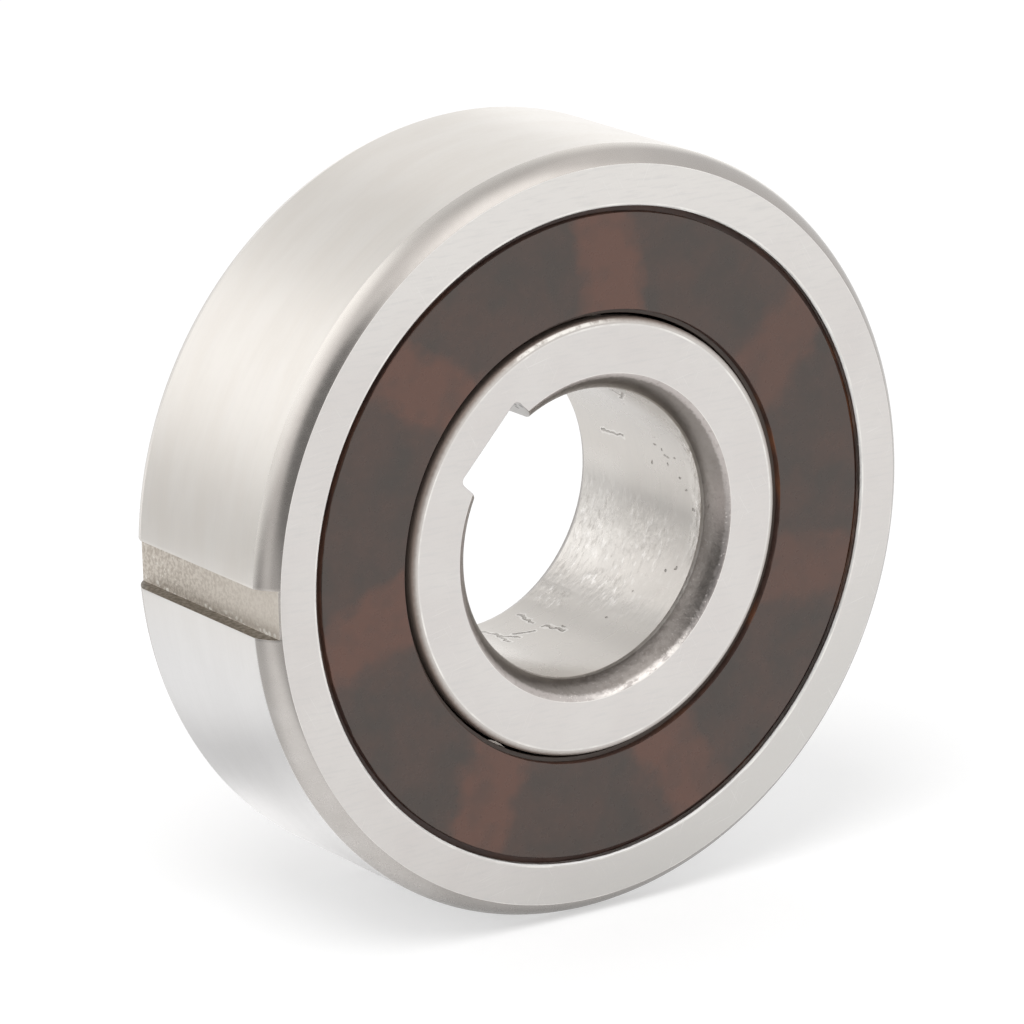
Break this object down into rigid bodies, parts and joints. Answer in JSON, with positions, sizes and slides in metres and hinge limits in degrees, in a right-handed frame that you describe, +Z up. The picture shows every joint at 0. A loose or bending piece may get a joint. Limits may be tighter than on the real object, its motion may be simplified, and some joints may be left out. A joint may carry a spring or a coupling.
{
  "type": "sprag clutch",
  "caption": "One-way sprag clutch with ball bearing support, keyed bore and keyed outer ring, and a brown plastic shield on each side; drives one way and runs free the other.",
  "frame": {"origin": "centre of the bearing, on its axis at mid width", "axes": "+Y along the axis from the front side to the back side, +Z up as the bearing stands on its rim in the picture, +X to the right seen from the front"},
  "size_m": [0.032, 0.01, 0.032],
  "materials": {
    "ring_steel": "fine ground bearing steel",
    "shield_plastic": "brown moulded polymer, slightly translucent",
    "cage_plastic": "dark moulded polymer",
    "ball_steel": "polished bearing steel",
    "sprag_steel": "ground and tumbled steel",
    "spring_steel": "rolled spring strip"
  },
  "bodies": {
    "outer_ring": {"outer_ring": "ring_steel", "front_shield": "shield_plastic", "back_shield": "shield_plastic"},
    "inner_ring": {"inner_ring": "ring_steel"},
    "cage": {"cage": "cage_plastic", "spring_1": "spring_steel", "spring_2": "spring_steel", "spring_3": "spring_steel", "spring_4": "spring_steel", "spring_5": "spring_steel", "spring_6": "spring_steel", "spring_7": "spring_steel"},
    "ball_1": {"ball_1": "ball_steel"},
    "sprag_1": {"sprag_1": "sprag_steel"},
    "ball_2": {"ball_2": "ball_steel"},
    "sprag_2": {"sprag_2": "sprag_steel"},
    "ball_3": {"ball_3": "ball_steel"},
    "sprag_3": {"sprag_3": "sprag_steel"},
    "ball_4": {"ball_4": "ball_steel"},
    "sprag_4": {"sprag_4": "sprag_steel"},
    "ball_5": {"ball_5": "ball_steel"},
    "sprag_5": {"sprag_5": "sprag_steel"},
    "ball_6": {"ball_6": "ball_steel"},
    "sprag_6": {"sprag_6": "sprag_steel"},
    "ball_7": {"ball_7": "ball_steel"},
    "sprag_7": {"sprag_7": "sprag_steel"}
  },
  "joints": [
    {"name": "inner_ring_turn", "type": "hinge", "parent": "outer_ring", "child": "inner_ring", "pos_m": [0, 0, 0], "axis": [0, 1, 0], "continuous": true},
    {"name": "cage_turn", "type": "hinge", "parent": "outer_ring", "child": "cage", "pos_m": [0, 0, 0], "axis": [0, 1, 0], "continuous": true},
    {"name": "ball_1_spin", "type": "hinge", "parent": "cage", "child": "ball_1", "pos_m": [0.00518, 0, 0.0097], "axis": [0, 1, 0], "continuous": true},
    {"name": "ball_2_spin", "type": "hinge", "parent": "cage", "child": "ball_2", "pos_m": [-0.00436, 0, 0.0101], "axis": [0, 1, 0], "continuous": true},
    {"name": "ball_3_spin", "type": "hinge", "parent": "cage", "child": "ball_3", "pos_m": [-0.01061, 0, 0.00289], "axis": [0, 1, 0], "continuous": true},
    {"name": "ball_4_spin", "type": "hinge", "parent": "cage", "child": "ball_4", "pos_m": [-0.00888, 0, -0.0065], "axis": [0, 1, 0], "continuous": true},
    {"name": "ball_5_spin", "type": "hinge", "parent": "cage", "child": "ball_5", "pos_m": [-0.00046, 0, -0.01099], "axis": [0, 1, 0], "continuous": true},
    {"name": "ball_6_spin", "type": "hinge", "parent": "cage", "child": "ball_6", "pos_m": [0.00831, 0, -0.00721], "axis": [0, 1, 0], "continuous": true},
    {"name": "ball_7_spin", "type": "hinge", "parent": "cage", "child": "ball_7", "pos_m": [0.01082, 0, 0.002], "axis": [0, 1, 0], "continuous": true},
    {"name": "sprag_1_tilt", "type": "hinge", "parent": "cage", "child": "sprag_1", "pos_m": [0.00888, 0, 0.0065], "axis": [0, -1, 0], "range_deg": [0, 4], "stiffness_Nm_per_rad": 0.00002, "springref_deg": -11.46},
    {"name": "sprag_2_tilt", "type": "hinge", "parent": "cage", "child": "sprag_2", "pos_m": [0.00046, 0, 0.01099], "axis": [0, -1, 0], "range_deg": [0, 4], "stiffness_Nm_per_rad": 0.00002, "springref_deg": -11.46},
    {"name": "sprag_3_tilt", "type": "hinge", "parent": "cage", "child": "sprag_3", "pos_m": [-0.00831, 0, 0.00721], "axis": [0, -1, 0], "range_deg": [0, 4], "stiffness_Nm_per_rad": 0.00002, "springref_deg": -11.46},
    {"name": "sprag_4_tilt", "type": "hinge", "parent": "cage", "child": "sprag_4", "pos_m": [-0.01082, 0, -0.002], "axis": [0, -1, 0], "range_deg": [0, 4], "stiffness_Nm_per_rad": 0.00002, "springref_deg": -11.46},
    {"name": "sprag_5_tilt", "type": "hinge", "parent": "cage", "child": "sprag_5", "pos_m": [-0.00518, 0, -0.0097], "axis": [0, -1, 0], "range_deg": [0, 4], "stiffness_Nm_per_rad": 0.00002, "springref_deg": -11.46},
    {"name": "sprag_6_tilt", "type": "hinge", "parent": "cage", "child": "sprag_6", "pos_m": [0.00436, 0, -0.0101], "axis": [0, -1, 0], "range_deg": [0, 4], "stiffness_Nm_per_rad": 0.00002, "springref_deg": -11.46},
    {"name": "sprag_7_tilt", "type": "hinge", "parent": "cage", "child": "sprag_7", "pos_m": [0.01061, 0, -0.00289], "axis": [0, -1, 0], "range_deg": [0, 4], "stiffness_Nm_per_rad": 0.00002, "springref_deg": -11.46}
  ],
  "couplings": [
    {"joint": "cage_turn", "follows": "inner_ring_turn", "ratio": 0.39175},
    {"joint": "ball_1_spin", "follows": "inner_ring_turn", "ratio": -2.2012},
    {"joint": "ball_2_spin", "follows": "inner_ring_turn", "ratio": -2.2012},
    {"joint": "ball_3_spin", "follows": "inner_ring_turn", "ratio": -2.2012},
    {"joint": "ball_4_spin", "follows": "inner_ring_turn", "ratio": -2.2012},
    {"joint": "ball_5_spin", "follows": "inner_ring_turn", "ratio": -2.2012},
    {"joint": "ball_6_spin", "follows": "inner_ring_turn", "ratio": -2.2012},
    {"joint": "ball_7_spin", "follows": "inner_ring_turn", "ratio": -2.2012},
    {"joint": "sprag_2_tilt", "follows": "sprag_1_tilt", "ratio": 1},
    {"joint": "sprag_3_tilt", "follows": "sprag_1_tilt", "ratio": 1},
    {"joint": "sprag_4_tilt", "follows": "sprag_1_tilt", "ratio": 1},
    {"joint": "sprag_5_tilt", "follows": "sprag_1_tilt", "ratio": 1},
    {"joint": "sprag_6_tilt", "follows": "sprag_1_tilt", "ratio": 1},
    {"joint": "sprag_7_tilt", "follows": "sprag_1_tilt", "ratio": 1}
  ]
}
